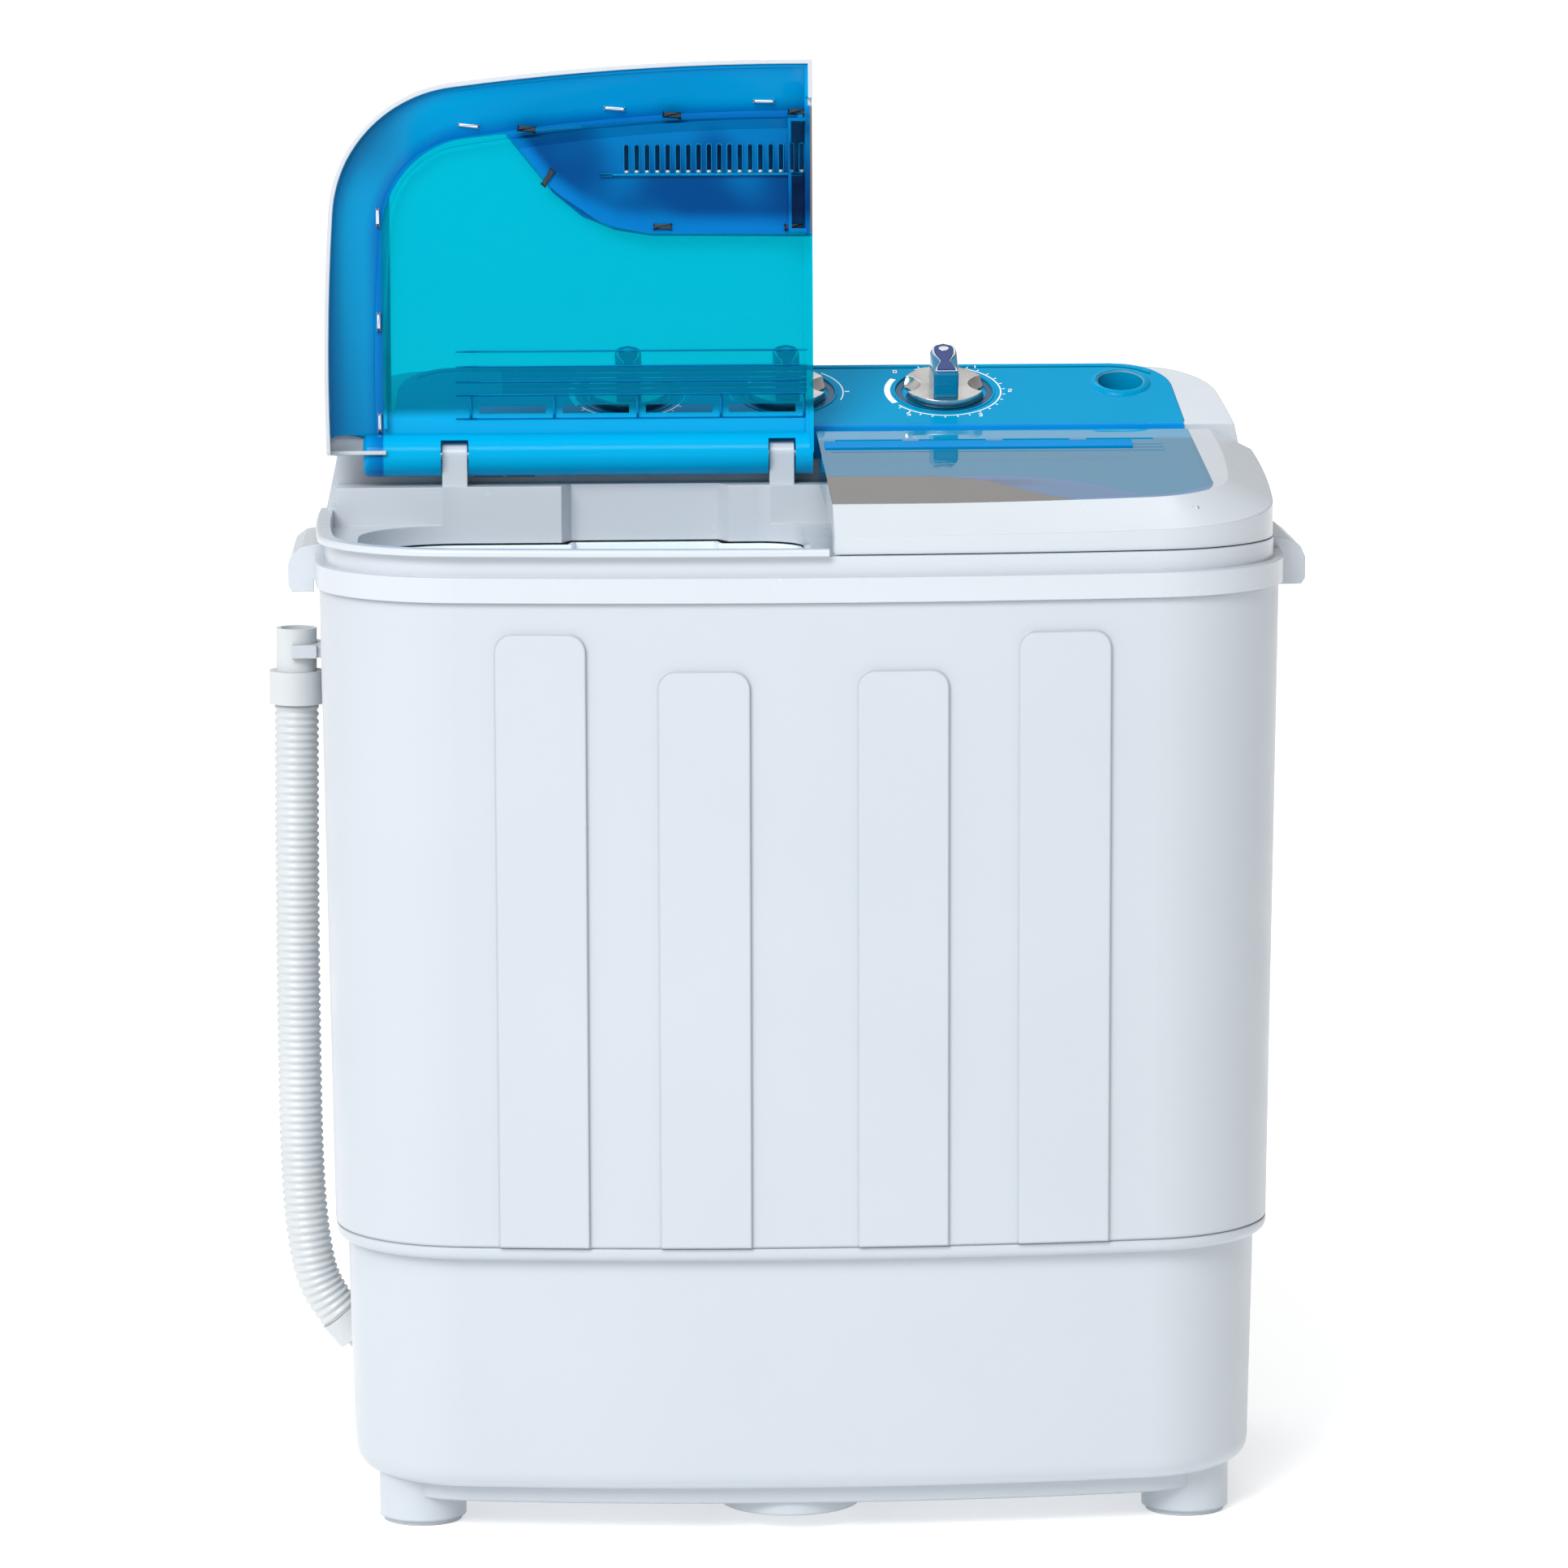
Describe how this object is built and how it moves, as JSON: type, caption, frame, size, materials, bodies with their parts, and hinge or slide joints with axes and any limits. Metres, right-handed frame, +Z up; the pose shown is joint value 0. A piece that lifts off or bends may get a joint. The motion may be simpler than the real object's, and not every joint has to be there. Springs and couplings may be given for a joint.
{
  "type": "twin tub washer",
  "caption": "Compact twin tub washer: wash tub with pulsator and spin basket side by side, hinged lids, rear control panel with timer knobs, side drain hose.",
  "frame": {"origin": "centre of the footprint on the floor, under the feet", "axes": "+Z up, +Y to the back where the controls are, +X to the spin side"},
  "size_m": [0.614, 0.368, 0.8469],
  "materials": {
    "white_shell": "satin",
    "white_frame": "gloss",
    "blue_clear": "clear gloss",
    "panel_blue": "gloss",
    "tub_white": "satin",
    "chrome": "polished",
    "navy": "gloss",
    "grip_blue": "gloss",
    "hose_milky": "translucent",
    "grey_plastic": "matte",
    "dark_plastic": "matte",
    "rubber": "matte",
    "steel": "brushed",
    "motor_steel": "satin",
    "aluminium": "satin"
  },
  "bodies": {
    "cabinet": {"base_skirt": "white_shell", "foot_pads": "rubber", "cabinet_shell": "white_shell", "rear_cover": "white_shell", "rear_cover_screws": "steel", "top_frame": "white_frame", "control_panel": "panel_blue", "wash_timer_unit": "dark_plastic", "spin_timer_unit": "dark_plastic", "selector_bracket": "grey_plastic", "inlet_funnel": "grey_plastic", "inlet_duct": "grey_plastic", "wash_tub": "tub_white", "lint_filter_cover": "tub_white", "spin_outer_tub": "tub_white", "spin_seal_bellows": "rubber", "spin_motor": "motor_steel", "spin_motor_mounts": "rubber", "brake_bracket": "steel", "bearing_housing": "grey_plastic", "wash_motor": "motor_steel", "drive_belt": "rubber", "motor_capacitors": "dark_plastic", "drain_valve_body": "grey_plastic", "drain_valve_spring": "steel", "internal_drain_pipes": "grey_plastic", "drain_elbow": "hose_milky", "drain_hose": "hose_milky", "hose_collar": "hose_milky", "hose_end_connector": "hose_milky", "hose_clip": "white_frame", "cable_gland": "rubber", "lid_switch": "grey_plastic"},
    "wash_lid": {"wash_lid_frame": "white_frame", "wash_lid_panel": "blue_clear", "wash_lid_handle": "chrome", "wash_lid_pins": "steel"},
    "spin_lid": {"spin_lid_frame": "white_frame", "spin_lid_panel": "blue_clear", "spin_lid_handle": "chrome", "spin_lid_pins": "steel"},
    "wash_timer_knob": {"wash_timer_disc": "chrome", "wash_timer_grip": "grip_blue", "wash_timer_cap": "navy"},
    "drain_selector_knob": {"drain_selector_disc": "chrome", "drain_selector_grip": "grip_blue", "drain_selector_cap": "navy"},
    "spin_timer_knob": {"spin_timer_disc": "chrome", "spin_timer_grip": "grip_blue", "spin_timer_cap": "navy"},
    "pulsator": {"pulsator": "tub_white", "pulsator_screw": "steel", "pulsator_shaft": "steel", "pulsator_pulley": "grey_plastic"},
    "wash_motor_rotor": {"motor_pulley": "aluminium"},
    "spin_basket": {"spin_basket": "tub_white", "spin_shaft": "steel", "brake_drum": "steel"},
    "drain_valve": {"drain_valve_plug": "grey_plastic"},
    "brake_lever": {"brake_lever": "steel"}
  },
  "joints": [
    {"name": "wash_lid_hinge", "type": "hinge", "parent": "cabinet", "child": "wash_lid", "pos_m": [0, 0.056, 0.612], "axis": [1, 0, 0], "range_deg": [0, 98]},
    {"name": "spin_lid_hinge", "type": "hinge", "parent": "cabinet", "child": "spin_lid", "pos_m": [0, 0.056, 0.612], "axis": [1, 0, 0], "range_deg": [-98, 0]},
    {"name": "wash_timer_turn", "type": "hinge", "parent": "cabinet", "child": "wash_timer_knob", "pos_m": [-0.096, 0.11804, 0.64276], "axis": [0, -0.342, 0.9397], "range_deg": [-300, 0]},
    {"name": "drain_selector_turn", "type": "hinge", "parent": "cabinet", "child": "drain_selector_knob", "pos_m": [0, 0.11804, 0.64276], "axis": [0, -0.342, 0.9397], "range_deg": [-90, 0]},
    {"name": "spin_timer_turn", "type": "hinge", "parent": "cabinet", "child": "spin_timer_knob", "pos_m": [0.096, 0.11804, 0.64276], "axis": [0, -0.342, 0.9397], "range_deg": [-300, 0]},
    {"name": "pulsator_spin", "type": "hinge", "parent": "cabinet", "child": "pulsator", "pos_m": [-0.125, -0.055, 0.2], "axis": [0, 0, 1], "continuous": true},
    {"name": "wash_motor_spin", "type": "hinge", "parent": "cabinet", "child": "wash_motor_rotor", "pos_m": [0, 0.05, 0.1], "axis": [0, 0, 1], "continuous": true},
    {"name": "spin_basket_spin", "type": "hinge", "parent": "cabinet", "child": "spin_basket", "pos_m": [0.139, -0.054, 0.2], "axis": [0, 0, 1], "continuous": true},
    {"name": "drain_valve_lift", "type": "slide", "parent": "cabinet", "child": "drain_valve", "axis": [0, 0, 1], "range_m": [0, 0.0105], "deforming": ["drain_valve_spring"]},
    {"name": "brake_lever_pivot", "type": "hinge", "parent": "cabinet", "child": "brake_lever", "pos_m": [0.201, -0.014, 0.175], "axis": [0, 0, 1], "range_deg": [-8, 0]}
  ],
  "couplings": [
    {"joint": "wash_motor_spin", "follows": "pulsator_spin", "ratio": 3.614},
    {"joint": "drain_valve_lift", "follows": "drain_selector_turn", "m_per_rad": -0.0063662},
    {"joint": "brake_lever_pivot", "follows": "spin_lid_hinge", "ratio": 0.08}
  ]
}
